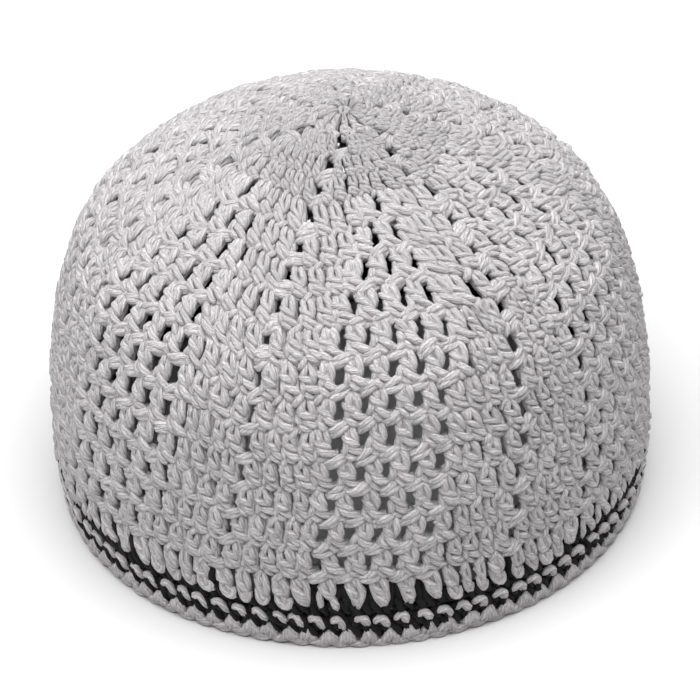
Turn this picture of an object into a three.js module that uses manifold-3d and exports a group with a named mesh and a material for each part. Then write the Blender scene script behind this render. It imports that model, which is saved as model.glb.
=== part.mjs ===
// Crocheted kufi: a close-fitting domed cap worked from the top down in rounds of thick yarn,
// with openwork panels in its crown and wall and a striped band of short stitches at the rim.
import * as THREE from 'three';
import { mergeVertices } from 'three/addons/utils/BufferGeometryUtils.js';
import Module from 'manifold-3d';

const wasm = await Module();
wasm.setup();

// Driving sizes in millimetres. The origin is the centre of the rim, on the surface that the cap stands on.
const CAP_RADIUS = 90;
const CAP_HEIGHT = 128.5;
const FABRIC_THICKNESS = 3.4;
const BAND_THICKNESS = 3.6;
const BAND_BULGE = 0.5;
const RIM_EDGE_HEIGHT = 3.9;
const SHORT_STITCH_HEIGHT = 4.25;
const SEAM_GAP = 0.3;
const CENTRE_RING_RADIUS = 2.7;
const ROUND_RIB_DEPTH = 0.7;
const OPENING_WIDTH = 3.3;
const OPENING_HEIGHT = 5.2;
const OPENING_PITCH = 7.7;

// Counts
const TALL_ROUNDS = 16;
const PANELS = 6;
const STEPS_AROUND = 48;

// Share by which tighter work brings the panels at the front closer together
const FRONT_TIGHTNESS = 0.085;

// Outline of one side from the rim to the top, as shares of the cap's height and radius
const OUTLINE = [
  { height: 0, radius: 0.979 },
  { height: 0.139, radius: 0.996 },
  { height: 0.279, radius: 0.998 },
  { height: 0.418, radius: 0.98 },
  { height: 0.554, radius: 0.94 },
  { height: 0.683, radius: 0.864 },
  { height: 0.782, radius: 0.725 },
  { height: 0.855, radius: 0.555 },
  { height: 0.918, radius: 0.378 },
  { height: 0.972, radius: 0.194 },
  { height: 1, radius: 0 },
];

// Rounds that are pierced here, counted from the top, with the openings in each of the six repeats,
// and the turn of the front repeat's middle opening in degrees from the front
const PIERCED_ROUNDS = [
  { round: 2, openings: 1, turn: 2.7 },
  { round: 4, openings: 1, turn: 19.5 },
  { round: 6, openings: 3, turn: 16 },
  { round: 8, openings: 5, turn: 12.2 },
  { round: 11, openings: 5, turn: 8.6 },
  { round: 14, openings: 5, turn: 4.5 },
];

const GREY_YARN = { color: 0xc2bfc0, roughness: 0.9, metalness: 0 };
const BLACK_YARN = { color: 0x1d1d20, roughness: 0.9, metalness: 0 };

// The rounds of short stitches, from the rim edge up to the wall
const SHORT_ROUNDS = [
  { name: 'lower_black_round', finish: BLACK_YARN },
  { name: 'spotted_round', finish: GREY_YARN },
  { name: 'upper_black_round', finish: BLACK_YARN },
];

// Fineness of the working: steps along the outline, and the reach of a merge
const OUTLINE_STEPS = 2000;
const MERGE_DISTANCE = 1e-4;
// A cutting box is this many times as deep as the cloth that it goes through
const CUT_DEPTH_IN_CLOTH = 3;

const BAND_HEIGHT = RIM_EDGE_HEIGHT + SHORT_ROUNDS.length * SHORT_STITCH_HEIGHT;

// The whole outline runs over the top from rim to rim, so that it crosses the middle level
const rising = OUTLINE.map((row) => new THREE.Vector2(row.radius * CAP_RADIUS, row.height * CAP_HEIGHT));
const falling = rising.slice(0, -1).reverse().map((point) => new THREE.Vector2(-point.x, point.y));
const outline = new THREE.SplineCurve([...rising, ...falling]);
outline.arcLengthDivisions = OUTLINE_STEPS;
const SIDE_LENGTH = outline.getLength() / 2;

// Point of the outline and its outward direction, a length down the cloth from the middle of the top
function onOutline(lengthDown) {
  const share = THREE.MathUtils.clamp(0.5 * (1 - lengthDown / SIDE_LENGTH), 0, 0.5);
  const point = outline.getPointAt(share);
  const along = outline.getTangentAt(share);
  return { point, along, outward: new THREE.Vector2(along.y, -along.x) };
}

// Length down the cloth at which the outline reaches a height, halved down to the last number between
function lengthAtHeight(height) {
  let near = SIDE_LENGTH / 2;
  let far = SIDE_LENGTH;
  let middle = (near + far) / 2;
  while (middle > near && middle < far) {
    if (onOutline(middle).point.y > height) near = middle;
    else far = middle;
    middle = (near + far) / 2;
  }
  return near;
}

const FABRIC_LENGTH = lengthAtHeight(BAND_HEIGHT);
const ROUND_PITCH = (FABRIC_LENGTH - CENTRE_RING_RADIUS) / TALL_ROUNDS;

// A geometry whose shared corners are merged, without faces that have shrunk to a line
function mergedGeometry(geometry) {
  geometry.deleteAttribute('normal');
  geometry.deleteAttribute('uv');
  const merged = mergeVertices(geometry, MERGE_DISTANCE);
  const corners = merged.index.array;
  const kept = [];
  for (let at = 0; at < corners.length; at += 3) {
    const [a, b, c] = corners.slice(at, at + 3);
    if (a !== b && b !== c && c !== a) kept.push(a, b, c);
  }
  merged.setIndex(kept);
  return merged;
}

function toSolid(geometry) {
  const merged = mergedGeometry(geometry);
  return new wasm.Manifold(new wasm.Mesh({
    numProp: 3,
    vertProperties: new Float32Array(merged.attributes.position.array),
    triVerts: new Uint32Array(merged.index.array),
  }));
}

function toGeometry(solid) {
  const mesh = solid.getMesh();
  const geometry = new THREE.BufferGeometry();
  geometry.setAttribute('position', new THREE.BufferAttribute(new Float32Array(mesh.vertProperties), 3));
  geometry.setIndex(new THREE.BufferAttribute(new Uint32Array(mesh.triVerts), 1));
  geometry.computeVertexNormals();
  return geometry;
}

// A closed profile of radius and height, turned round the upright axis
function turned(profile) {
  return new THREE.LatheGeometry(profile, STEPS_AROUND).rotateX(Math.PI / 2);
}

// The dome's wall: an outer face with a shallow rib for each round, and a smoother inner face
function domeGeometry() {
  const outer = [];
  const inner = [];
  const bottom = BAND_HEIGHT + SEAM_GAP / 2;
  for (let fromRim = 0; fromRim <= TALL_ROUNDS; fromRim += 1) {
    const round = TALL_ROUNDS - fromRim;
    const lengthDown = CENTRE_RING_RADIUS + round * ROUND_PITCH;
    const valley = onOutline(lengthDown);
    const deep = valley.point.clone().addScaledVector(valley.outward, -ROUND_RIB_DEPTH);
    const back = valley.point.clone().addScaledVector(valley.outward, -FABRIC_THICKNESS);
    if (fromRim === 0) {
      deep.y = bottom;
      back.y = bottom;
    }
    outer.push(deep);
    if (fromRim % 2 === 0) inner.push(back);
    if (round > 0) outer.push(onOutline(lengthDown - 0.5 * ROUND_PITCH).point);
  }
  const profile = [
    new THREE.Vector2(0, CAP_HEIGHT - FABRIC_THICKNESS),
    ...inner.reverse(),
    ...outer,
    new THREE.Vector2(0, CAP_HEIGHT),
  ];
  return turned(profile);
}

// Turn round the cap after the tighter work at the front is allowed for
function workedAngle(evenAngle) {
  return evenAngle - FRONT_TIGHTNESS * Math.sin(evenAngle);
}

// A box through the wall for one opening, square to the cloth at its round and turn
function openingGeometry(lengthDown, angle) {
  const { point, along, outward } = onOutline(lengthDown);
  const depth = CUT_DEPTH_IN_CLOTH * FABRIC_THICKNESS;
  const side = new THREE.Vector3(Math.cos(angle), Math.sin(angle), 0);
  const radial = new THREE.Vector3(Math.sin(angle), -Math.cos(angle), 0);
  const upright = new THREE.Vector3(0, 0, 1);
  const upCloth = radial.clone().multiplyScalar(along.x).addScaledVector(upright, along.y);
  const outOfCloth = radial.clone().multiplyScalar(outward.x).addScaledVector(upright, outward.y);
  const centre = radial.clone().multiplyScalar(point.x).addScaledVector(upright, point.y);
  centre.addScaledVector(outOfCloth, -0.5 * FABRIC_THICKNESS);
  const box = new THREE.BoxGeometry(OPENING_WIDTH, OPENING_HEIGHT, depth);
  const place = new THREE.Matrix4().makeBasis(side, upCloth, outOfCloth).setPosition(centre);
  return box.applyMatrix4(place);
}

function crownAndWall() {
  let solid = toSolid(domeGeometry());
  for (const { round, openings, turn } of PIERCED_ROUNDS) {
    const lengthDown = CENTRE_RING_RADIUS + (round - 0.5) * ROUND_PITCH;
    const pitchAngle = OPENING_PITCH / onOutline(lengthDown).point.x;
    const frontTurn = THREE.MathUtils.degToRad(turn);
    for (let panel = 0; panel < PANELS; panel += 1) {
      for (let opening = 0; opening < openings; opening += 1) {
        const across = (opening - 0.5 * (openings - 1)) * pitchAngle;
        const angle = workedAngle(frontTurn + (panel * 2 * Math.PI) / PANELS + across);
        solid = solid.subtract(toSolid(openingGeometry(lengthDown, angle)));
      }
    }
  }
  return toGeometry(solid);
}

// One round of the band: a ring with a bulging outer face, flat above and below
function bandRound(low, high) {
  const third = (high - low) / 3;
  const lowRadius = onOutline(lengthAtHeight(low)).point.x;
  const highRadius = onOutline(lengthAtHeight(high)).point.x;
  const crest = onOutline(lengthAtHeight((low + high) / 2)).point.x;
  const innerLow = new THREE.Vector2(lowRadius - BAND_THICKNESS, low);
  const profile = [
    innerLow,
    new THREE.Vector2(lowRadius - BAND_BULGE, low),
    new THREE.Vector2(crest, low + third),
    new THREE.Vector2(crest, high - third),
    new THREE.Vector2(highRadius - BAND_BULGE, high),
    new THREE.Vector2(highRadius - BAND_THICKNESS, high),
    innerLow,
  ];
  return mergedGeometry(turned(profile));
}

const kufi = new THREE.Group();

function addPiece(name, geometry, finish) {
  const mesh = new THREE.Mesh(geometry, new THREE.MeshStandardMaterial(finish));
  mesh.name = name;
  kufi.add(mesh);
}

addPiece('crown_and_wall', crownAndWall(), GREY_YARN);
addPiece('rim_edge', bandRound(0, RIM_EDGE_HEIGHT - SEAM_GAP / 2), GREY_YARN);

SHORT_ROUNDS.forEach(({ name, finish }, step) => {
  const low = RIM_EDGE_HEIGHT + step * SHORT_STITCH_HEIGHT + SEAM_GAP / 2;
  addPiece(name, bandRound(low, low + SHORT_STITCH_HEIGHT - SEAM_GAP), finish);
});

export default kufi;
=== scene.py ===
"""Crocheted kufi: rounds of tall stitches in grey yarn over a dome, and a striped band of short stitches."""
import math

import bmesh
import bpy
import numpy as np
from mathutils import Matrix, Vector


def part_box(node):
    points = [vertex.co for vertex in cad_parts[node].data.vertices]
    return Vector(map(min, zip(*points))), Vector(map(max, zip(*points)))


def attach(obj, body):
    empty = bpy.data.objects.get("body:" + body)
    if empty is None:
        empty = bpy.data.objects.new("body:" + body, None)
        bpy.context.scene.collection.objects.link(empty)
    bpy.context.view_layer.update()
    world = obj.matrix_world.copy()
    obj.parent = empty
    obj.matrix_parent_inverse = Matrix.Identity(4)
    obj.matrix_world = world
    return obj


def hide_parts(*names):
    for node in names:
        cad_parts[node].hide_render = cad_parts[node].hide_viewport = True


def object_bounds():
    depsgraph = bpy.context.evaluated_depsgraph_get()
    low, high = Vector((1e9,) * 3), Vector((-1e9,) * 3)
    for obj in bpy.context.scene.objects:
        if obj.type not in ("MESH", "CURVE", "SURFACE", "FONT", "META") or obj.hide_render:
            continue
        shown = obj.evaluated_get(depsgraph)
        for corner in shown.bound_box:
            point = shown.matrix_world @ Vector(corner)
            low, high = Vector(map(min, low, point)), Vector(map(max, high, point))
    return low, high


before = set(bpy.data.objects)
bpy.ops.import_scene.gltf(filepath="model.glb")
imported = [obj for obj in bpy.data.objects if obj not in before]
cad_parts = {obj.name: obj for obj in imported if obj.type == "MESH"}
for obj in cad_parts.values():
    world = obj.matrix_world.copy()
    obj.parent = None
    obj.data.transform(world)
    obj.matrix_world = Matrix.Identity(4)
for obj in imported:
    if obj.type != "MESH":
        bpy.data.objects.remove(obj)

bl_info = {
    "name": "Crocheted Kufi",
    "version": (1, 0, 0),
    "blender": (4, 5, 0),
    "location": "View3D > Sidebar > Kufi",
    "description": "Works a domed crochet cap, stitch by stitch, around its measured frame",
    "category": "Add Mesh",
}

MM = 0.001
CAD_LOW, CAD_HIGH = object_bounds()
RIM_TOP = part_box("rim_edge")[1].z / MM
LOWER_BLACK_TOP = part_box("lower_black_round")[1].z / MM
SPOTTED_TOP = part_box("spotted_round")[1].z / MM
WALL_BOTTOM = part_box("crown_and_wall")[0].z / MM

# Outline of one side from the rim to the top, as shares of the cap's height and radius
OUTLINE = [
    (0, 0.979), (0.139, 0.996), (0.279, 0.998), (0.418, 0.98), (0.554, 0.94), (0.683, 0.864),
    (0.782, 0.725), (0.855, 0.555), (0.918, 0.378), (0.972, 0.194), (1, 0),
]
OUTLINE_STEPS = 60

# Rounds of tall stitches from the top down: openings of the openwork panel, plain stitches of a
# repeat, turn of the front panel's middle in degrees, or of the front single opening where there is
# no panel, and the widths of a panel opening and of a single one from post to post, in millimetres
ROUNDS = [
    (0, 2, 0, 0, 0),
    (0, 4, -2, 0, 6.0),
    (0, 5, -12, 0, 6.2),
    (0, 6, -15, 0, 6.0),
    (1, 4, 19.5, 7.8, 7.8),
    (2, 4, 17.6, 7.9, 7.8),
    (3, 4, 16, 8.0, 7.6),
    (4, 5, 14.2, 8.0, 7.4),
    (5, 5, 12.2, 8.2, 7.4),
    (5, 5, 10.6, 8.4, 7.8),
    (5, 6, 9.7, 8.4, 7.8),
    (5, 7, 8.6, 8.4, 7.8),
    (5, 7, 7.2, 8.4, 7.8),
    (5, 7, 5.8, 8.4, 7.8),
    (5, 7, 4.5, 8.4, 7.8),
    (5, 7, 3.0, 8.4, 7.8),
    (5, 7, 1.4, 8.4, 7.8),
]
# The first rounds are this much shorter than the rest
SHORTER_ROUNDS = 4
SHORTER_SHARE = 0.75
# Looser work at the left sets the repeats there further round, by these degrees at these rounds,
# and each repeat, from the front round to the right, by its own share of them
DRIFT_ROUNDS = (1, 2, 3, 5, 6, 8, 10, 12, 17)
DRIFT_TURNS = (0, 9, 9, 14, 13, 8, 5, 2, 3)
DRIFT_SHARES = (0, 0, 0, 0.25, 0.6, 1)
REPEATS = 6
REPEAT_TURN = 2 * math.pi / REPEATS
CENTRE_RING_RADIUS = 2.7
# Share by which tighter work brings the repeats at the front closer together
FRONT_TIGHTNESS = 0.085

# Height of a tall round and widths from post to post that the strands below are drawn for
DRAWN_ROUND_HEIGHT = 10.0
PLAIN_WIDTH = 5.6
CROWN_WIDTH = 4.9
FENCE_WIDTH = 7.6

# Strands of each kind of stitch, as points of width, height, depth and radius in millimetres. Heights
# are above the stitch's foot, and depths are from the cap's outer face, minus inwards.
PLAIN_STITCH = [
    [(-0.6, 9.9, -2.2, 0.85), (-1.0, 8.2, -1.1, 1.05), (-1.2, 6.5, -1.05, 1.1), (-0.7, 4.7, -1.8, 0.9)],
    [(0.6, 9.9, -2.2, 0.85), (0.95, 8.0, -1.0, 1.1), (1.2, 5.8, -0.95, 1.15), (0.9, 3.4, -1.8, 0.9)],
    [(-2.4, 6.3, -2.0, 0.85), (-1.4, 5.4, -0.9, 1.15), (0.2, 4.3, -0.85, 1.2), (1.4, 3.1, -1.8, 0.9)],
    [(-2.0, 5.0, -2.0, 0.85), (-2.2, 3.4, -1.2, 1.05), (-2.3, 2.0, -1.2, 1.1), (-2.6, 0.7, -2.1, 0.9)],
    [(-1.8, 4.0, -1.8, 0.85), (-0.5, 2.7, -0.95, 1.2), (1.1, 1.3, -0.9, 1.22), (2.6, 0.2, -2.1, 0.95)],
    [(-2.2, 2.2, -2.0, 0.85), (-1.3, 0.9, -1.15, 1.05), (-0.2, -0.1, -1.15, 1.05), (0.9, -0.5, -2.0, 0.85)],
    [(1.0, -2.4, -2.3, 0.85), (1.9, -1.5, -1.2, 1.1), (2.8, -0.3, -1.2, 1.1), (3.5, 1.0, -2.3, 0.85)],
    [(-1.4, 9.6, -2.6, 1.6), (-1.5, 5.0, -2.7, 1.8), (-1.4, 0.6, -2.6, 1.7)],
    [(1.5, 9.6, -2.6, 1.6), (1.6, 5.0, -2.7, 1.8), (1.5, 0.6, -2.6, 1.7)],
    [(-3.2, 0.2, -2.8, 1.7), (0.0, -0.2, -2.7, 1.8), (3.2, 0.2, -2.8, 1.7)],
]
# The crown's stitches, which are narrower and stand further apart
CROWN_STITCH = [
    [(-0.7, 9.7, -2.2, 0.8), (-1.1, 8.1, -1.0, 0.98), (-1.15, 6.0, -0.95, 1.02), (-0.6, 4.2, -1.8, 0.85)],
    [(0.6, 9.7, -2.2, 0.8), (0.85, 7.9, -0.9, 1.02), (1.1, 5.4, -0.85, 1.05), (0.8, 3.2, -1.7, 0.85)],
    [(-2.0, 5.9, -2.0, 0.8), (-1.2, 5.0, -0.9, 1.02), (0.2, 3.9, -0.85, 1.08), (1.3, 2.7, -1.8, 0.85)],
    [(-1.7, 4.5, -2.0, 0.8), (-1.9, 3.1, -1.2, 1.0), (-2.0, 1.9, -1.2, 1.0), (-2.3, 0.6, -2.1, 0.85)],
    [(-1.6, 3.6, -1.9, 0.85), (-0.5, 2.4, -0.9, 1.1), (0.9, 1.2, -0.85, 1.12), (2.3, 0.1, -2.0, 0.9)],
    [(-1.9, 1.9, -2.0, 0.8), (-1.1, 0.8, -1.1, 1.0), (-0.1, -0.1, -1.1, 1.0), (0.8, -0.5, -2.0, 0.8)],
    [(0.9, -2.2, -2.2, 0.8), (1.6, -1.4, -1.1, 1.02), (2.4, -0.3, -1.1, 1.02), (3.0, 0.9, -2.2, 0.85)],
    [(-0.9, 9.6, -2.7, 1.35), (-1.0, 5.0, -2.7, 1.5), (-0.9, 0.6, -2.7, 1.45)],
    [(0.9, 9.6, -2.7, 1.35), (1.0, 5.0, -2.7, 1.5), (0.9, 0.6, -2.7, 1.45)],
    [(-2.6, 0.2, -2.9, 1.5), (0.0, -0.2, -2.8, 1.6), (2.6, 0.2, -2.9, 1.5)],
]
# The posts between the openings of a panel, which stand alone
FENCE_STITCH = [
    [(-0.9, 9.9, -2.2, 0.9), (-1.1, 8.2, -1.1, 1.1), (-1.2, 6.3, -1.05, 1.15), (-0.6, 4.4, -1.8, 0.9)],
    [(0.8, 9.9, -2.2, 0.9), (1.05, 7.9, -1.0, 1.15), (1.3, 5.5, -0.95, 1.2), (0.8, 3.1, -1.7, 0.9)],
    [(-2.5, 7.0, -2.0, 0.9), (-1.6, 5.8, -0.9, 1.2), (0.1, 4.3, -0.85, 1.25), (1.3, 2.6, -1.8, 0.9)],
    [(-2.2, 5.2, -2.1, 0.9), (-2.4, 3.8, -1.3, 1.15), (-2.8, 2.3, -1.3, 1.2), (-3.7, 0.4, -2.4, 0.95)],
    [(-1.8, 4.4, -1.9, 0.9), (-0.6, 2.9, -1.0, 1.25), (1.2, 1.3, -0.95, 1.25), (3.2, 0.1, -2.2, 0.95)],
    [(-3.2, 2.6, -2.0, 0.85), (-2.2, 1.2, -1.1, 1.15), (-1.0, 0.0, -1.15, 1.15), (0.3, -0.6, -2.0, 0.85)],
    [(-0.1, 9.3, -2.4, 1.7), (0.0, 5.0, -2.3, 1.8), (-0.3, 0.8, -2.5, 1.7)],
    [(-4.0, 0.4, -2.8, 1.7), (0.0, 0.2, -2.7, 1.7), (4.0, 0.4, -2.8, 1.7)],
]
# The chain that joins two posts at the foot of an opening
CHAIN_BAR = [
    [(-4.2, -1.2, -2.5, 0.95), (-2.0, -0.3, -1.1, 1.25), (0.5, 0.5, -1.0, 1.25), (3.2, 1.4, -2.3, 0.95)],
    [(-4.0, -2.7, -2.6, 0.95), (-1.8, -1.9, -1.2, 1.25), (0.7, -1.0, -1.1, 1.25), (3.4, 0.0, -2.4, 0.95)],
    [(-4.2, -2.2, -2.7, 1.7), (-0.5, -1.3, -2.3, 1.8), (3.6, 0.0, -2.7, 1.7)],
]
# The same at a single opening in the crown, where it nearly closes the opening
SINGLE_BAR = [
    [(-3.4, 0.7, -2.5, 0.9), (-1.4, 1.2, -1.1, 1.2), (0.8, 1.6, -1.0, 1.2), (2.9, 2.4, -2.3, 0.9)],
    [(-3.3, -0.9, -2.5, 0.85), (-1.5, -0.4, -1.1, 1.1), (0.7, 0.2, -1.0, 1.1), (3.0, 0.9, -2.3, 0.85)],
    [(-3.2, -2.4, -2.6, 0.9), (-1.4, -1.9, -1.2, 1.2), (0.7, -1.1, -1.1, 1.2), (3.0, -0.3, -2.4, 0.9)],
    [(-3.4, -0.8, -2.9, 1.9), (0.0, -0.3, -2.6, 2.1), (3.4, 0.4, -2.9, 1.9)],
    [(-3.6, 2.0, -2.8, 1.5), (0.0, 2.8, -2.4, 1.7), (3.6, 3.2, -2.8, 1.5)],
]
# Feet of the last tall round on the black: two legs or a fork in the panels, and loops between them
POINTED_FOOT = [
    [(-0.9, 9.9, -2.2, 0.9), (-1.1, 8.2, -1.1, 1.1), (-1.2, 6.3, -1.0, 1.15), (-0.6, 4.4, -1.6, 0.95)],
    [(0.8, 9.9, -2.2, 0.9), (1.05, 7.9, -1.0, 1.15), (1.3, 5.5, -0.9, 1.2), (0.9, 3.5, -1.5, 0.95)],
    [(-2.5, 6.9, -2.0, 0.9), (-1.5, 5.7, -0.85, 1.2), (0.1, 4.4, -0.75, 1.25), (1.4, 3.2, -1.6, 0.95)],
    [(-1.4, 5.4, -1.5, 0.9), (-2.2, 3.8, -0.9, 1.2), (-2.4, 1.8, -0.75, 1.2), (-2.1, -0.2, -0.9, 1.0)],
    [(-1.0, 4.2, -1.4, 0.9), (0.7, 3.2, -0.75, 1.2), (1.9, 1.7, -0.7, 1.25), (2.5, -0.4, -0.9, 1.0)],
    [(-0.1, 9.3, -2.4, 1.7), (0.0, 6.0, -2.3, 1.8), (-0.1, 3.8, -2.3, 1.6)],
]
LOOPED_FOOT = [
    [(-0.9, 9.9, -2.2, 0.9), (-1.2, 8.0, -1.1, 1.1), (-1.4, 5.6, -0.95, 1.15), (-1.1, 3.0, -1.3, 0.95)],
    [(0.7, 9.9, -2.2, 0.9), (1.0, 8.0, -1.0, 1.1), (1.4, 5.6, -0.9, 1.2), (1.3, 3.2, -1.3, 0.95)],
    [(-2.4, 6.8, -2.0, 0.9), (-1.4, 5.4, -0.85, 1.2), (0.2, 3.9, -0.8, 1.25), (1.5, 2.6, -1.6, 0.95)],
    [(-1.9, 4.4, -1.4, 0.9), (-1.6, 2.0, -0.8, 1.2), (-0.2, 0.0, -0.7, 1.25), (1.4, 0.4, -0.8, 1.2),
     (1.9, 2.6, -1.5, 0.95)],
    [(-0.8, 4.0, -1.5, 0.95), (0.1, 2.4, -0.9, 1.25), (0.5, 1.4, -0.95, 1.2), (0.6, 0.6, -1.4, 1.0)],
    [(-0.1, 9.3, -2.4, 1.7), (0.0, 5.0, -2.3, 1.8), (0.0, 2.0, -2.2, 1.6)],
]
FORKED_FOOT = [
    [(-1.4, 9.2, -2.1, 0.9), (-1.7, 7.2, -1.0, 1.15), (-1.6, 4.8, -0.8, 1.2), (-0.9, 2.3, -0.75, 1.2),
     (-0.1, 0.2, -1.2, 0.95)],
    [(1.3, 9.4, -2.1, 0.9), (1.6, 7.2, -1.0, 1.15), (1.7, 5.0, -0.8, 1.2), (1.2, 2.5, -0.7, 1.25),
     (0.4, 0.3, -1.0, 1.05)],
    [(-2.4, 6.8, -1.8, 0.9), (-1.2, 5.4, -0.55, 1.15), (0.3, 4.2, -0.5, 1.2), (1.6, 3.2, -1.4, 0.9)],
    [(-1.3, 4.0, -1.5, 0.9), (-0.3, 2.8, -0.45, 1.1), (0.5, 1.7, -0.5, 1.1), (1.0, 0.5, -1.3, 0.9)],
    [(-0.1, 9.3, -2.4, 1.7), (0.0, 5.0, -2.3, 1.8), (0.1, 2.0, -2.1, 1.4)],
]
# The band: its short black stitches, the spikes that reach up between the grey feet, the grey hooks of
# the spotted round, and the teeth and the chain of the rim edge
SHORT_STITCH = [
    [(-2.9, 4.6, -1.9, 0.9), (-1.8, 3.2, -1.15, 1.15), (-0.8, 1.6, -1.15, 1.15), (0.2, 0.2, -1.9, 0.9)],
    [(-0.2, 4.9, -1.9, 0.9), (1.0, 3.6, -1.15, 1.15), (1.9, 1.9, -1.15, 1.15), (2.7, 0.3, -1.9, 0.9)],
    [(-3.5, 3.2, -2.3, 1.3), (0.0, 3.0, -2.2, 1.4), (3.5, 3.2, -2.3, 1.3)],
    [(-3.5, 0.6, -2.4, 1.3), (0.0, 0.8, -2.3, 1.4), (3.5, 0.6, -2.4, 1.3)],
]
SPIKE = [
    [(-1.3, 3.0, -2.2, 1.3), (-1.5, 6.2, -2.2, 1.7), (-1.2, 9.0, -2.3, 1.6), (-0.4, 12.2, -2.7, 1.1)],
    [(1.3, 3.0, -2.2, 1.3), (1.5, 6.2, -2.2, 1.7), (1.2, 9.2, -2.3, 1.6), (0.2, 12.4, -2.7, 1.1)],
]
HOOK = [
    [(-2.2, -0.5, -1.3, 0.85), (-1.9, 0.7, -0.7, 1.1), (-0.5, 1.4, -0.45, 1.15), (0.9, 0.6, -0.4, 1.15),
     (1.7, -0.9, -0.5, 1.1), (2.1, -2.4, -1.2, 0.8)],
    [(-0.2, 0.5, -1.2, 0.9), (0.5, -0.4, -0.8, 1.0), (1.0, -1.3, -0.9, 1.0), (1.2, -2.3, -1.5, 0.8)],
]
TOOTH = [
    [(-2.6, -1.6, -1.4, 1.0), (-2.0, 0.3, -0.7, 1.2), (-1.2, 1.9, -0.65, 1.15), (-0.9, 3.2, -1.3, 0.85)],
    [(-1.0, -1.6, -1.3, 1.0), (-0.5, 0.4, -0.55, 1.2), (-0.2, 2.0, -0.55, 1.15), (-0.4, 3.4, -1.3, 0.85)],
    [(0.6, -1.6, -1.3, 1.0), (0.9, 0.1, -0.6, 1.15), (0.7, 1.6, -0.6, 1.15), (0.1, 3.1, -1.3, 0.85)],
    [(2.2, -1.6, -1.4, 1.0), (1.9, -0.3, -0.75, 1.1), (1.4, 0.8, -0.8, 1.1), (0.6, 2.2, -1.4, 0.85)],
    [(-3.5, -0.9, -2.4, 1.2), (0.0, -0.7, -2.3, 1.3), (3.5, -0.9, -2.4, 1.2)],
]
EDGE_CHAIN = [
    [(-3.9, 0.9, -1.7, 0.8), (-1.7, 1.9, -0.9, 1.05), (1.3, 1.9, -0.9, 1.05), (3.5, 1.3, -1.7, 0.8)],
    [(-3.4, 1.1, -1.7, 0.8), (-1.2, 1.0, -0.9, 1.0), (1.6, 1.0, -0.9, 1.0), (3.8, 1.3, -1.7, 0.8)],
    [(-3.5, 1.4, -2.5, 1.3), (0.0, 1.4, -2.5, 1.3), (3.5, 1.4, -2.5, 1.3)],
]
# A link of the rings that close the middle of the top
RING_LINK = [
    [(-1.4, -0.2, -1.5, 0.5), (-0.6, 0.5, -0.9, 0.62), (0.5, 0.5, -0.9, 0.62), (1.3, -0.2, -1.5, 0.5)],
]

# Pieces of the tall rounds, each with its first and last round
TALL_PIECES = [
    ("crown_rounds", 1, 6),
    ("shoulder_rounds", 7, 9),
    ("upper_wall_rounds", 10, 12),
    ("middle_wall_rounds", 13, 15),
    ("lower_wall_rounds", 16, 17),
]
# Crown stitches are worked before this round, and plain stitches from it on
FIRST_PLAIN_ROUND = 9
# The fence stitches before this round are broader, and the single openings from it on have plain bars
FIRST_WALL_ROUND = 10
# How far a stitch's head leans to the left, and its foot to the right, in millimetres
CROWN_LEAN = 0.8
WALL_LEAN = 0.35
# Share by which the stitches of a round keep their foot's width in degrees, narrowing towards the top
ROUND_FANS = {1: 0.8, 2: 0.4, 3: 0.3, 4: 0.25, 5: 0.2}
USUAL_FAN = 0.1
# A stitch is squeezed or drawn out to its place between these shares of its width, and then some kinds
# are made broader, and the first round taller, so that they close up
WIDTH_SHARES = (0.6, 1.35)
BROAD_SHARE = 1.18
FIRST_ROUND_STRETCH = 1.15
# How far the last tall round's feet reach down over the black, in millimetres, and the share of the
# panels' feet that are forked
FOOT_REACH = 1.3
FORKED_CHANCE = 0.65

# Rings of links that close the middle of the top: radius in millimetres, and links
RING_ROWS = ((1.9, 6), (0.7, 3))
# Stitches of each round of the band, how far above the rim edge a second black row starts behind the
# spots, how far the teeth's feet lie below the rim edge's top, and the chain's share of the usual straying
BAND_STITCHES = 84
BACKING_RISE = 3.2
TOOTH_DROP = 0.4
CHAIN_LOOSENESS = 0.5

# Meshes of each kind of stitch, and how much their strands differ: millimetres, and share of radius
VARIANTS = 9
USUAL_JITTER = 0.25
CROWN_JITTER = 0.13
BAND_JITTER = 0.1
CHAIN_JITTER = 0.06
RING_JITTER = 0.05
RADIUS_JITTER = 0.07
# The most by which a stitch strays: millimetres across and down, shares of its width and height,
# tilt in millimetres for each millimetre, and millimetres outwards
STRAY_ACROSS = 0.25
STRAY_DOWN = 0.3
STRAY_WIDTH = 0.07
STRAY_HEIGHT = 0.04
STRAY_TILT = 0.12
STRAY_OUT = 0.22
# Depths between which shade is painted onto the yarn, from none at the face of the cloth to full deep inside
# it
PAINTED_SHADE_DEPTHS = (1.2, 3.0)


def spline_through(points, steps):
    """Points of an even Catmull-Rom spline, each span cut into the same number of steps."""
    points = np.asarray(points, float)
    padded = np.vstack([points[:1], points, points[-1:]])
    share = (np.arange(steps) / steps)[:, None]
    spans = []
    for first, start, end, last in zip(padded, padded[1:], padded[2:], padded[3:]):
        leave = 0.5 * (end - first)
        arrive = 0.5 * (last - start)
        spans.append(
            (2 * start - 2 * end + leave + arrive) * share ** 3
            + (3 * end - 3 * start - 2 * leave - arrive) * share ** 2
            + leave * share + start
        )
    return np.vstack(spans + [points[-1:]])


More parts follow.
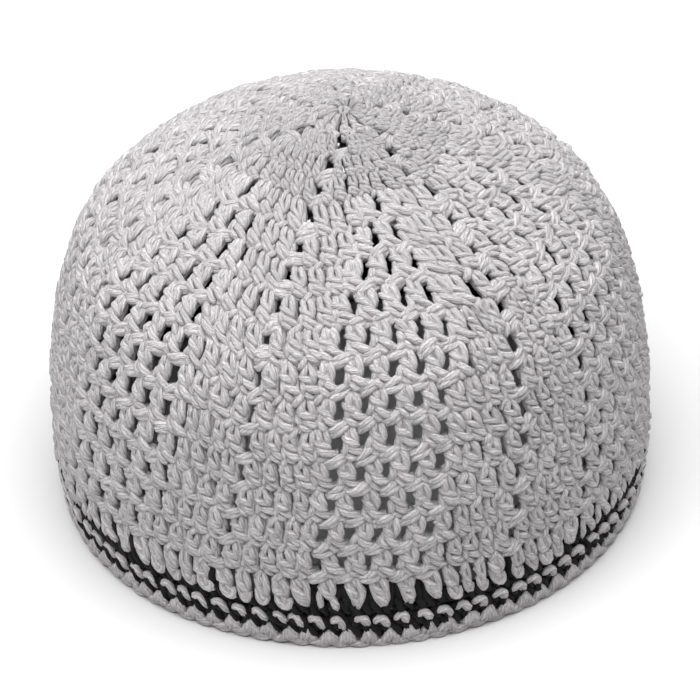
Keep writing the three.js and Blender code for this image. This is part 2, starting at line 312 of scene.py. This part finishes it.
class CapSurface:
    """The cap's outer face, met by turn round the cap and by length of cloth down from the top."""

    def __init__(self):
        rising = [(radius, height) for height, radius in OUTLINE]
        whole = rising + [(-radius, height) for radius, height in rising[-2::-1]]
        shares = spline_through(whole, OUTLINE_STEPS)
        side = shares[:len(shares) // 2 + 1][::-1]
        radius = side[:, 0] / side[:, 0].max() * 0.5 * (CAD_HIGH.x - CAD_LOW.x) / MM
        height = side[:, 1] * (CAD_HIGH.z - CAD_LOW.z) / MM
        self.radius = np.maximum(radius, 0)
        self.height = height
        steps = np.hypot(np.diff(radius), np.diff(height))
        self.length = np.concatenate([[0], np.cumsum(steps)])
        along = np.gradient(radius, self.length), np.gradient(height, self.length)
        self.out_radius = -along[1]
        self.out_height = along[0]

    def radius_at(self, length):
        return np.interp(length, self.length, self.radius)

    def length_at_height(self, height):
        return np.interp(-height, -self.height, self.length)

    def point(self, turn, length, depth):
        """Points in metres from turns in radians, lengths down the cloth and depths outwards."""
        radius = self.radius_at(length) + depth * np.interp(length, self.length, self.out_radius)
        height = np.interp(length, self.length, self.height)
        height = height + depth * np.interp(length, self.length, self.out_height)
        height = np.maximum(height, 0)
        return np.stack([radius * np.sin(turn), -radius * np.cos(turn), height], axis=1) * MM


SURFACE = CapSurface()
FABRIC_LENGTH = SURFACE.length_at_height(WALL_BOTTOM)
ROUND_HEIGHTS = np.where(np.arange(len(ROUNDS)) < SHORTER_ROUNDS, SHORTER_SHARE, 1.0)
ROUND_HEIGHTS *= (FABRIC_LENGTH - CENTRE_RING_RADIUS) / ROUND_HEIGHTS.sum()
ROUND_FEET = CENTRE_RING_RADIUS + np.cumsum(ROUND_HEIGHTS)
ROUND_MIDDLES = ROUND_FEET - 0.5 * ROUND_HEIGHTS
# Turn of a single opening in each round, half a repeat from the panel where there is one
SINGLE_TURNS = np.array([
    math.radians(turn) - (0.5 * REPEAT_TURN if openings else 0) for openings, _, turn, _, _ in ROUNDS
])
# How far the rounds dip at the single openings, by length down the cloth
DIP_LENGTHS = [18, 40, 105, 135]
DIP_DEPTHS = [0, 1.8, 1.8, 0]
# The wander of rounds and columns begins and reaches its full size at these lengths down the cloth
WANDER_RISE = (12, 45)
# Waves of that wander: size in millimetres, waves round the cap, radians for each millimetre down, start
ROUND_WAVES = ((0.35, 3, 0.07, 1.0), (0.3, 8, -0.11, 2.2))
COLUMN_WAVES = ((0.5, 2, 0.16, 0.4), (0.35, 5, -0.23, 0))
# Radius in millimetres under which columns wander as if they were on it
LEAST_RADIUS = 5
# The middle of the top sits this far to the right and back, less and less down to the reach
TOP_SLIP = np.array([1.8, 1.6, 0]) * MM
TOP_SLIP_REACH = 45


def worked_turn(turn):
    """Turn after the tighter work at the front is allowed for."""
    return turn - FRONT_TIGHTNESS * np.sin(turn)


def waving(waves, turn, down):
    """Sum of the waves at each turn and length."""
    return sum(size * np.sin(around * turn + along * down + start) for size, around, along, start in waves)


def wandered(turn, down):
    """Turns and lengths after the slow wander of rounds and columns that hand work has."""
    fading = np.interp(down, WANDER_RISE, (0, 1))
    radius = np.maximum(SURFACE.radius_at(np.maximum(down, 0)), LEAST_RADIUS)
    wandered_turn = turn + fading * waving(COLUMN_WAVES, turn, down) / radius
    return wandered_turn, down + fading * waving(ROUND_WAVES, turn, down)


class StitchKind:
    """A few jittered meshes of one stitch, each made of plain tubes of yarn."""

    def __init__(self, name, strands, seed, jitter=USUAL_JITTER):
        chance = np.random.default_rng(seed)
        self.meshes = [self.strand_mesh(name, strands, chance, jitter) for _ in range(VARIANTS)]

    def strand_mesh(self, name, strands, chance, jitter):
        thickness = bpy.context.scene.kufi.yarn_thickness
        curve = bpy.data.curves.new(name, "CURVE")
        curve.dimensions = "3D"
        curve.resolution_u = 2
        curve.bevel_depth = 1.0
        curve.bevel_resolution = 1
        curve.use_fill_caps = True
        for points in strands:
            spline = curve.splines.new("BEZIER")
            spline.bezier_points.add(len(points) - 1)
            for knot, (x, y, z, radius) in zip(spline.bezier_points, points):
                knot.co = Vector((x, y, z)) + Vector(chance.normal(0, jitter, 3))
                knot.radius = radius * thickness * (1 + chance.normal(0, RADIUS_JITTER))
                knot.handle_left_type = knot.handle_right_type = "AUTO"
        carrier = bpy.data.objects.new(name, curve)
        mesh = bpy.data.meshes.new_from_object(carrier)
        bpy.data.objects.remove(carrier)
        bpy.data.curves.remove(curve)
        merged = bmesh.new()
        merged.from_mesh(mesh)
        bmesh.ops.remove_doubles(merged, verts=merged.verts, dist=1e-5)
        merged.to_mesh(mesh)
        merged.free()
        return mesh

    def discard(self):
        for mesh in self.meshes:
            bpy.data.meshes.remove(mesh)


class Work:
    """Stitches waiting to be joined into one piece."""

    def __init__(self, seed):
        self.chance = np.random.default_rng(seed)
        self.meshes = []
        self.rows = []

    def add(self, kind, turn, length, width=1.0, tall=1.0, lean=0.0, fan=0.0, loose=1.0):
        pick = self.chance.random(7)
        spread = loose * bpy.context.scene.kufi.looseness * (2 * pick - 1)
        self.meshes.append(kind.meshes[int(pick[0] * VARIANTS)])
        radius = max(SURFACE.radius_at(length), 1)
        self.rows.append((
            turn + STRAY_ACROSS * spread[1] / radius,
            length + STRAY_DOWN * spread[2],
            width * (1 + STRAY_WIDTH * spread[3]),
            tall * (1 + STRAY_HEIGHT * spread[4]),
            lean,
            STRAY_TILT * spread[5],
            STRAY_OUT * spread[6],
            fan,
        ))

    def piece(self, name, material, slot, *nodes):
        """One object of all the stitches, laid on the cap."""
        joined = bmesh.new()
        for mesh in self.meshes:
            joined.from_mesh(mesh)
        result = bpy.data.meshes.new(name)
        joined.to_mesh(result)
        joined.free()
        sizes = [len(mesh.vertices) for mesh in self.meshes]
        flat = np.empty(3 * len(result.vertices))
        result.vertices.foreach_get("co", flat)
        x, y, z = flat.reshape(-1, 3).T
        spread_rows = np.repeat(np.array(self.rows), sizes, axis=0)
        turn, length, width, tall, lean, tilt, lift, fan = spread_rows.T
        middle = 0.5 * DRAWN_ROUND_HEIGHT
        across = x * width - lean * (y - middle) / middle + tilt * (y - middle)
        down = length - (y - tilt * x) * tall
        own_radius = np.maximum(SURFACE.radius_at(np.maximum(down, 0.5)), 0.5)
        foot_radius = np.maximum(SURFACE.radius_at(length), 0.5)
        turned = turn + across / (own_radius * (1 - fan) + foot_radius * fan)
        dip = np.interp(down, DIP_LENGTHS, DIP_DEPTHS)
        dip_turn = np.interp(down, ROUND_MIDDLES, SINGLE_TURNS)
        down = down + dip * np.cos(REPEATS * (turned - dip_turn))
        turned, down = wandered(turned, down)
        placed = SURFACE.point(worked_turn(turned), down, z + lift)
        near_top = np.interp(down, (0, TOP_SLIP_REACH), (1, 0))[:, None]
        placed += near_top ** 2 * TOP_SLIP
        result.vertices.foreach_set("co", placed.ravel())
        shade = result.attributes.new("shade", "FLOAT", "POINT")
        tones = np.random.default_rng(len(sizes)).random(len(sizes))
        shade.data.foreach_set("value", np.repeat(tones, sizes))
        # Painted shade: how deep each point lies in the cloth, which darkens the yarn's colour there
        painted_shade = result.attributes.new("painted_shade", "FLOAT", "POINT")
        painted_shade.data.foreach_set("value", np.interp(-z, PAINTED_SHADE_DEPTHS, (0, 1)))
        result.materials.append(material)
        result.update()
        piece = bpy.data.objects.new(name, result)
        bpy.context.scene.collection.objects.link(piece)
        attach(piece, "root")
        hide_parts(*nodes)
        return piece


def repeat_turns(index):
    """Turns of the six panels of a tall round, or of its single openings where it has no panel."""
    drift = np.interp(index + 1, DRIFT_ROUNDS, DRIFT_TURNS) * np.array(DRIFT_SHARES)
    return np.radians(ROUNDS[index][2] - drift) + REPEAT_TURN * np.arange(REPEATS)


def round_posts(index):
    """Posts of a tall round, as turn, width and kind, and its openings, as turn, width and kind."""
    openings, plain, _, opening_width, single_width = ROUNDS[index]
    radius = SURFACE.radius_at(ROUND_MIDDLES[index])
    if not single_width:
        pitch = REPEAT_TURN / plain
        return [(pitch * step, pitch * radius, "plain") for step in range(plain * REPEATS)], []
    turns = repeat_turns(index)
    pitch = opening_width / radius
    half_panel = 0.5 * openings * pitch
    half_single = 0.5 * single_width / radius
    plain_pitch = (REPEAT_TURN - 2 * half_panel - 2 * half_single) / plain
    posts, holes = [], []

    def work_plain(start, end):
        """Plain posts from the start up to, and not at, the end."""
        count = max(1, round((end - start) / plain_pitch))
        step = (end - start) / count
        posts.extend((start + step * at, step * radius, "plain") for at in range(count))

    for here, following in zip(turns, np.append(turns[1:], turns[0] + 2 * math.pi)):
        if not openings:
            holes.append((here, single_width, "single"))
            work_plain(here + half_single, following - half_single)
            posts.append((following - half_single, plain_pitch * radius, "plain"))
            continue
        single = 0.5 * (here + following)
        first_post = here - half_panel
        for step in range(openings):
            holes.append((first_post + pitch * (step + 0.5), opening_width, "bar"))
            posts.append((first_post + pitch * step, opening_width, "fence"))
        posts.append((here + half_panel, opening_width, "fence"))
        holes.append((single, single_width, "single"))
        first_plain = here + half_panel + plain_pitch
        work_plain(first_plain, single - half_single)
        posts.append((single - half_single, plain_pitch * radius, "plain"))
        work_plain(single + half_single, following - half_panel)
    return posts, holes


# The yarn's relief, as waves wound round each strand: turns for each length of the strand, waves
# round it, and how much they wobble
PLIES = (2.0, 5, 1.1)
FIBRES = (5.0, 13, 2.0)
# Height of the fibres and of the fuzz, where the plies' height is 1
FIBRE_HEIGHT = 0.9
FUZZ_HEIGHT = 1.5
# Noise that makes the waves wobble, and the finer noise of the fuzz, in waves for each metre
WOBBLE_SCALE = 900
FUZZ_SCALE = 2600
RELIEF_DEPTH = 0.16 * MM
# Heights of the relief between which the colour passes from the painted shade of the grooves to the crests
GROOVE_SHADE_HEIGHTS = (1.05, 2.05)
# Brightness that the painted shade leaves deep inside the cloth
PAINTED_SHADE_BRIGHTNESS = 0.6
YARN_ROUGHNESS = 0.9
YARN_SPECULAR = 0.2
SHEEN_ROUGHNESS = 0.5
# For each yarn: brightness of the shade painted into its grooves, spread of brightness between stitches, and
# sheen
GREY_PAINTED_SHADE_AND_FINISH = (0.6, 0.05, 0.1)
BLACK_PAINTED_SHADE_AND_FINISH = (0.5, 0.25, 0.03)


def plied_yarn(name, colour, groove_shade_share, tone_spread, sheen):
    """Matt yarn of several plies that wind along each strand, with shade painted into the grooves of the
    relief and deep inside the cloth.
    """
    material = bpy.data.materials.new(name)
    material.use_nodes = True
    nodes, links = material.node_tree.nodes, material.node_tree.links
    shader = nodes["Principled BSDF"]
    shader.inputs["Roughness"].default_value = YARN_ROUGHNESS
    shader.inputs["Specular IOR Level"].default_value = YARN_SPECULAR
    shader.inputs["Sheen Weight"].default_value = sheen
    shader.inputs["Sheen Roughness"].default_value = SHEEN_ROUGHNESS

    def add(kind, **settings):
        node = nodes.new(kind)
        for setting, value in settings.items():
            setattr(node, setting, value)
        return node

    def scaled_sum(scaled, scale, added):
        """One height times a scale, plus another height."""
        total = add("ShaderNodeMath", operation="MULTIPLY_ADD")
        total.inputs[1].default_value = scale
        links.new(scaled, total.inputs[0])
        links.new(added, total.inputs[2])
        return total.outputs["Value"]

    def wound(twist, count, wobbling):
        """Height of a number of waves wound round the strand, from 0 to 1."""
        winding = add("ShaderNodeVectorMath", operation="DOT_PRODUCT")
        winding.inputs[1].default_value = (twist, count, 0)
        links.new(strand.outputs["UV"], winding.inputs[0])
        phase = scaled_sum(wobble.outputs["Fac"], wobbling, winding.outputs["Value"])
        angle = add("ShaderNodeMath", operation="MULTIPLY")
        angle.inputs[1].default_value = 2 * math.pi
        links.new(phase, angle.inputs[0])
        wave = add("ShaderNodeMath", operation="SINE")
        links.new(angle.outputs["Value"], wave.inputs[0])
        return ranged(wave.outputs["Value"], (-1, 1), (0, 1))

    def ranged(value, source, target):
        """A value carried from one range to another."""
        mapped = add("ShaderNodeMapRange")
        mapped.inputs["From Min"].default_value, mapped.inputs["From Max"].default_value = source
        mapped.inputs["To Min"].default_value, mapped.inputs["To Max"].default_value = target
        links.new(value, mapped.inputs["Value"])
        return mapped.outputs["Result"]

    def noise(scale, detail):
        """Noise on the object's own coordinates."""
        node = add("ShaderNodeTexNoise")
        node.inputs["Scale"].default_value = scale
        node.inputs["Detail"].default_value = detail
        links.new(place.outputs["Object"], node.inputs["Vector"])
        return node

    strand = add("ShaderNodeUVMap", uv_map="UVMap")
    place = add("ShaderNodeTexCoord")
    wobble = noise(WOBBLE_SCALE, 1)
    fuzz = noise(FUZZ_SCALE, 3)
    twisted = scaled_sum(wound(*FIBRES), FIBRE_HEIGHT, wound(*PLIES))
    relief = scaled_sum(fuzz.outputs["Fac"], FUZZ_HEIGHT, twisted)
    bump = add("ShaderNodeBump")
    bump.inputs["Strength"].default_value = 1.0
    bump.inputs["Distance"].default_value = RELIEF_DEPTH
    links.new(relief, bump.inputs["Height"])
    links.new(bump.outputs["Normal"], shader.inputs["Normal"])

    # Painted shade in the grooves: the colour darkens where the relief is low
    groove_shaded = add("ShaderNodeMix", data_type="RGBA")
    groove_shaded.inputs["A"].default_value = (*(groove_shade_share * part for part in colour), 1)
    groove_shaded.inputs["B"].default_value = (*colour, 1)
    links.new(ranged(relief, GROOVE_SHADE_HEIGHTS, (0, 1)), groove_shaded.inputs["Factor"])
    shade = add("ShaderNodeAttribute", attribute_name="shade")
    painted_shade = add("ShaderNodeAttribute", attribute_name="painted_shade")
    # Random tone of each stitch, times the painted shade deep inside the cloth
    brightness = add("ShaderNodeMath", operation="MULTIPLY")
    links.new(ranged(shade.outputs["Fac"], (0, 1), (1 - tone_spread, 1 + tone_spread)), brightness.inputs[0])
    links.new(ranged(painted_shade.outputs["Fac"], (0, 1), (1, PAINTED_SHADE_BRIGHTNESS)), brightness.inputs[1])
    toned_and_shaded = add("ShaderNodeHueSaturation")
    links.new(groove_shaded.outputs["Result"], toned_and_shaded.inputs["Color"])
    links.new(brightness.outputs["Value"], toned_and_shaded.inputs["Value"])
    links.new(toned_and_shaded.outputs["Color"], shader.inputs["Base Color"])
    return material


def yarn_material(name):
    """The cap's grey or black yarn, made once."""
    if name in bpy.data.materials:
        return bpy.data.materials[name]
    cap = bpy.context.scene.kufi
    if name == "Grey cotton yarn":
        return plied_yarn(name, cap.grey, *GREY_PAINTED_SHADE_AND_FINISH)
    return plied_yarn(name, cap.black, *BLACK_PAINTED_SHADE_AND_FINISH)


class KufiSettings(bpy.types.PropertyGroup):
    grey: bpy.props.FloatVectorProperty(
        name="Grey yarn", description="Colour of the crown, the wall, the spots and the rim edge",
        subtype="COLOR", size=3, min=0, max=1, default=(0.53, 0.511, 0.521))
    black: bpy.props.FloatVectorProperty(
        name="Black yarn", description="Colour of the band's black rounds",
        subtype="COLOR", size=3, min=0, max=1, default=(0.009, 0.009, 0.0105))
    yarn_thickness: bpy.props.FloatProperty(
        name="Yarn thickness", description="Thickness of every strand, as a share of the drawn one",
        subtype="FACTOR", default=1.0, min=0.7, max=1.3)
    looseness: bpy.props.FloatProperty(
        name="Looseness", description="How far the stitches stray from an even working",
        subtype="FACTOR", default=1.0, min=0.0, max=3.0)
    seed: bpy.props.IntProperty(
        name="Seed", description="Start of the small chances that make each stitch a little different",
        default=7, min=0)
    light_power: bpy.props.FloatProperty(
        name="Light power", description="Power of the large light above the cap",
        subtype="POWER", unit="POWER", default=78.0, min=0.0)


class KUFI_OT_tall_rounds(bpy.types.Operator):
    """Work the rounds of tall grey stitches, with their openwork panels, from the top down"""
    bl_idname = "kufi.tall_rounds"
    bl_label = "Tall Rounds"

    def execute(self, context):
        seed = context.scene.kufi.seed
        kinds = {
            "plain": StitchKind("plain stitch", PLAIN_STITCH, seed),
            "crown": StitchKind("crown stitch", CROWN_STITCH, seed + 5, CROWN_JITTER),
            "fence": StitchKind("fence stitch", FENCE_STITCH, seed + 1),
            "single": StitchKind("single bar", SINGLE_BAR, seed + 6),
            "bar": StitchKind("chain bar", CHAIN_BAR, seed + 2),
            "pointed": StitchKind("pointed foot", POINTED_FOOT, seed + 3),
            "looped": StitchKind("looped foot", LOOPED_FOOT, seed + 4),
            "forked": StitchKind("forked foot", FORKED_FOOT, seed + 8),
        }
        for name, first, last in TALL_PIECES:
            work = Work(seed + first)
            for number in range(first, last + 1):
                foot = ROUND_FEET[number - 1]
                tall = ROUND_HEIGHTS[number - 1] / DRAWN_ROUND_HEIGHT
                fan = ROUND_FANS.get(number, USUAL_FAN)
                lean = CROWN_LEAN if number < FIRST_PLAIN_ROUND else WALL_LEAN
                posts, holes = round_posts(number - 1)
                at_band = number == len(ROUNDS)
                for turn, width, kind in posts:
                    if at_band:
                        forked = "forked" if work.chance.random() < FORKED_CHANCE else "pointed"
                        kind = "looped" if kind == "plain" else forked
                    if kind == "plain" and number < FIRST_PLAIN_ROUND:
                        kind = "crown"
                    nominal = {"plain": PLAIN_WIDTH, "crown": CROWN_WIDTH}.get(kind, FENCE_WIDTH)
                    scale = min(max(width / nominal, WIDTH_SHARES[0]), WIDTH_SHARES[1])
                    broad_fence = kind == "fence" and number < FIRST_WALL_ROUND
                    if number == 1 or kind == "looped" or broad_fence:
                        scale *= BROAD_SHARE
                    own_foot, own_tall = foot, tall
                    if at_band:
                        own_foot = foot + FOOT_REACH
                        own_tall = tall * (1 + FOOT_REACH / ROUND_HEIGHTS[-1])
                    if number == 1:
                        own_tall = tall * FIRST_ROUND_STRETCH
                    work.add(kinds[kind], turn, own_foot, scale, own_tall, lean, fan)
                for turn, width, kind in [] if at_band else holes:
                    if kind == "single" and number >= FIRST_WALL_ROUND:
                        kind = "bar"
                    work.add(kinds[kind], turn, foot, width / FENCE_WIDTH, tall)
            work.piece(name, yarn_material("Grey cotton yarn"), "grey_yarn", "crown_and_wall")
        for kind in kinds.values():
            kind.discard()
        return {"FINISHED"}


class KUFI_OT_centre_ring(bpy.types.Operator):
    """Close the middle of the crown with the ring that the first round is worked into"""
    bl_idname = "kufi.centre_ring"
    bl_label = "Centre Ring"

    def execute(self, context):
        seed = context.scene.kufi.seed + 40
        link = StitchKind("ring link", RING_LINK, seed, RING_JITTER)
        work = Work(seed)
        for radius, links in RING_ROWS:
            for step in range(links):
                work.add(link, 2 * math.pi * step / links, radius, fan=1.0)
        work.piece("centre_ring", yarn_material("Grey cotton yarn"), "grey_yarn", "crown_and_wall")
        link.discard()
        return {"FINISHED"}


class KUFI_OT_band(bpy.types.Operator):
    """Work the band's short stitches: black, spotted and black rounds"""
    bl_idname = "kufi.band"
    bl_label = "Striped Band"

    def execute(self, context):
        seed = context.scene.kufi.seed + 50
        black = yarn_material("Black cotton yarn")
        grey = yarn_material("Grey cotton yarn")
        short = StitchKind("short stitch", SHORT_STITCH, seed)
        spike = StitchKind("spike", SPIKE, seed + 1)
        hook = StitchKind("hook", HOOK, seed + 2, BAND_JITTER)
        step = 2 * math.pi / BAND_STITCHES
        upper = Work(seed)
        foot = SURFACE.length_at_height(SPOTTED_TOP)
        for stitch in range(BAND_STITCHES):
            upper.add(short, stitch * step, foot)
        _, holes = round_posts(len(ROUNDS) - 1)
        for turn, _, _ in holes:
            upper.add(spike, turn, foot)
        upper.piece("upper_black_stitches", black, "black_yarn", "upper_black_round")
        lower = Work(seed + 1)
        foot = SURFACE.length_at_height(RIM_TOP)
        for stitch in range(BAND_STITCHES):
            lower.add(short, (stitch + 0.5) * step, foot)
            lower.add(short, stitch * step, foot - BACKING_RISE)
        lower.piece("lower_black_stitches", black, "black_yarn", "lower_black_round")
        spots = Work(seed + 2)
        foot = SURFACE.length_at_height(0.5 * (LOWER_BLACK_TOP + SPOTTED_TOP))
        for stitch in range(BAND_STITCHES):
            spots.add(hook, stitch * step, foot)
        spots.piece("spot_stitches", grey, "grey_yarn", "spotted_round")
        for kind in (short, spike, hook):
            kind.discard()
        return {"FINISHED"}


class KUFI_OT_rim(bpy.types.Operator):
    """Work the last grey round and the chain edge that the cap stands on"""
    bl_idname = "kufi.rim"
    bl_label = "Rim Edge"

    def execute(self, context):
        seed = context.scene.kufi.seed + 60
        tooth = StitchKind("tooth", TOOTH, seed, BAND_JITTER)
        chain = StitchKind("edge chain", EDGE_CHAIN, seed + 1, CHAIN_JITTER)
        step = 2 * math.pi / BAND_STITCHES
        foot = SURFACE.length_at_height(RIM_TOP - TOOTH_DROP)
        bottom = SURFACE.length_at_height(0)
        work = Work(seed)
        for stitch in range(BAND_STITCHES):
            work.add(tooth, (stitch + 0.5) * step, foot)
            work.add(chain, stitch * step, bottom, loose=CHAIN_LOOSENESS)
        work.piece("rim_stitches", yarn_material("Grey cotton yarn"), "grey_yarn", "rim_edge")
        tooth.discard()
        chain.discard()
        return {"FINISHED"}


class KUFI_OT_stage(bpy.types.Operator):
    """Lay a pale floor and set soft studio lights and the camera"""
    bl_idname = "kufi.stage"
    bl_label = "Stage"

    TARGET = Vector((0, 0, 0.063))
    DISTANCE = 1.44
    ELEVATION = math.radians(35.2)
    ROLL = math.radians(2.37)
    LENS = 249.2
    AIM_RIGHT = 0.0003
    AIM_UP = -0.01625
    SENSOR_WIDTH = 36
    SIGHT_REACH = 20
    FLOOR_REACH = 4
    FLOOR_BRIGHTNESS = 0.61
    FLOOR_ROUGHNESS = 0.9
    TOP_PLACE = (0, -0.2, 1.7)
    TOP_SIZE = 2.6
    LEFT_PLACE = (-1.4, -0.9, 1.2)
    LEFT_SIZE = 1.2
    LEFT_POWER = 7
    WORLD_BRIGHTNESS = 0.19

    def execute(self, context):
        scene = context.scene
        self.add_floor(scene)
        self.add_light(scene, "Top light", self.TOP_PLACE, self.TOP_SIZE, scene.kufi.light_power)
        self.add_light(scene, "Left light", self.LEFT_PLACE, self.LEFT_SIZE, self.LEFT_POWER)
        self.add_world(scene)
        self.add_camera(scene)
        scene.view_settings.view_transform = "Standard"
        return {"FINISHED"}

    def add_floor(self, scene):
        shape = bmesh.new()
        bmesh.ops.create_grid(shape, x_segments=1, y_segments=1, size=self.FLOOR_REACH)
        mesh = bpy.data.meshes.new("floor")
        shape.to_mesh(mesh)
        shape.free()
        floor = bpy.data.objects.new("floor", mesh)
        scene.collection.objects.link(floor)
        material = bpy.data.materials.new("Pale studio floor")
        material.use_nodes = True
        shader = material.node_tree.nodes["Principled BSDF"]
        shader.inputs["Base Color"].default_value = (*3 * [self.FLOOR_BRIGHTNESS], 1)
        shader.inputs["Roughness"].default_value = self.FLOOR_ROUGHNESS
        mesh.materials.append(material)

    def add_light(self, scene, name, place, size, power):
        light = bpy.data.lights.new(name, "AREA")
        light.shape = "DISK"
        light.size = size
        light.energy = power
        lamp = bpy.data.objects.new(name, light)
        lamp.location = place
        lamp.rotation_euler = (self.TARGET - lamp.location).to_track_quat("-Z", "Y").to_euler()
        scene.collection.objects.link(lamp)

    def add_world(self, scene):
        world = bpy.data.worlds.new("Studio")
        world.use_nodes = True
        background = world.node_tree.nodes["Background"]
        background.inputs["Color"].default_value = (1, 1, 1, 1)
        background.inputs["Strength"].default_value = self.WORLD_BRIGHTNESS
        scene.world = world

    def add_camera(self, scene):
        camera = bpy.data.cameras.new("Camera")
        camera.lens = self.LENS
        camera.sensor_width = self.SENSOR_WIDTH
        camera.clip_end = self.SIGHT_REACH
        viewer = bpy.data.objects.new("Camera", camera)
        scene.collection.objects.link(viewer)
        outwards = Vector((0, -math.cos(self.ELEVATION), math.sin(self.ELEVATION)))
        place = self.TARGET + self.DISTANCE * outwards
        _, level, upward = self.sight(place, self.TARGET)
        aim = self.TARGET + self.AIM_RIGHT * level + self.AIM_UP * upward
        forward, level, upward = self.sight(place, aim)
        right = level * math.cos(self.ROLL) - upward * math.sin(self.ROLL)
        above = upward * math.cos(self.ROLL) + level * math.sin(self.ROLL)
        turned = Matrix((right, above, -forward)).transposed().to_4x4()
        viewer.matrix_world = Matrix.Translation(place) @ turned
        scene.camera = viewer

    @staticmethod
    def sight(place, aim):
        """Directions forwards, to the right and up for someone who looks from a place at an aim."""
        forward = (aim - place).normalized()
        level = forward.cross(Vector((0, 0, 1))).normalized()
        return forward, level, level.cross(forward)


class KUFI_PT_panel(bpy.types.Panel):
    bl_label = "Kufi"
    bl_idname = "KUFI_PT_panel"
    bl_space_type = "VIEW_3D"
    bl_region_type = "UI"
    bl_category = "Kufi"

    def draw(self, context):
        cap = context.scene.kufi
        for setting in ("grey", "black", "yarn_thickness", "looseness", "seed", "light_power"):
            self.layout.prop(cap, setting)
        for operator in OPERATORS:
            self.layout.operator(operator.bl_idname)


OPERATORS = (KUFI_OT_tall_rounds, KUFI_OT_centre_ring, KUFI_OT_band, KUFI_OT_rim, KUFI_OT_stage)
CLASSES = (KufiSettings, *OPERATORS, KUFI_PT_panel)


def register():
    for item in CLASSES:
        bpy.utils.register_class(item)
    bpy.types.Scene.kufi = bpy.props.PointerProperty(type=KufiSettings)


def unregister():
    del bpy.types.Scene.kufi
    for item in reversed(CLASSES):
        bpy.utils.unregister_class(item)


def main():
    register()
    bpy.ops.kufi.tall_rounds()
    bpy.ops.kufi.centre_ring()
    bpy.ops.kufi.band()
    bpy.ops.kufi.rim()
    bpy.ops.kufi.stage()


if __name__ == "__main__":
    main()
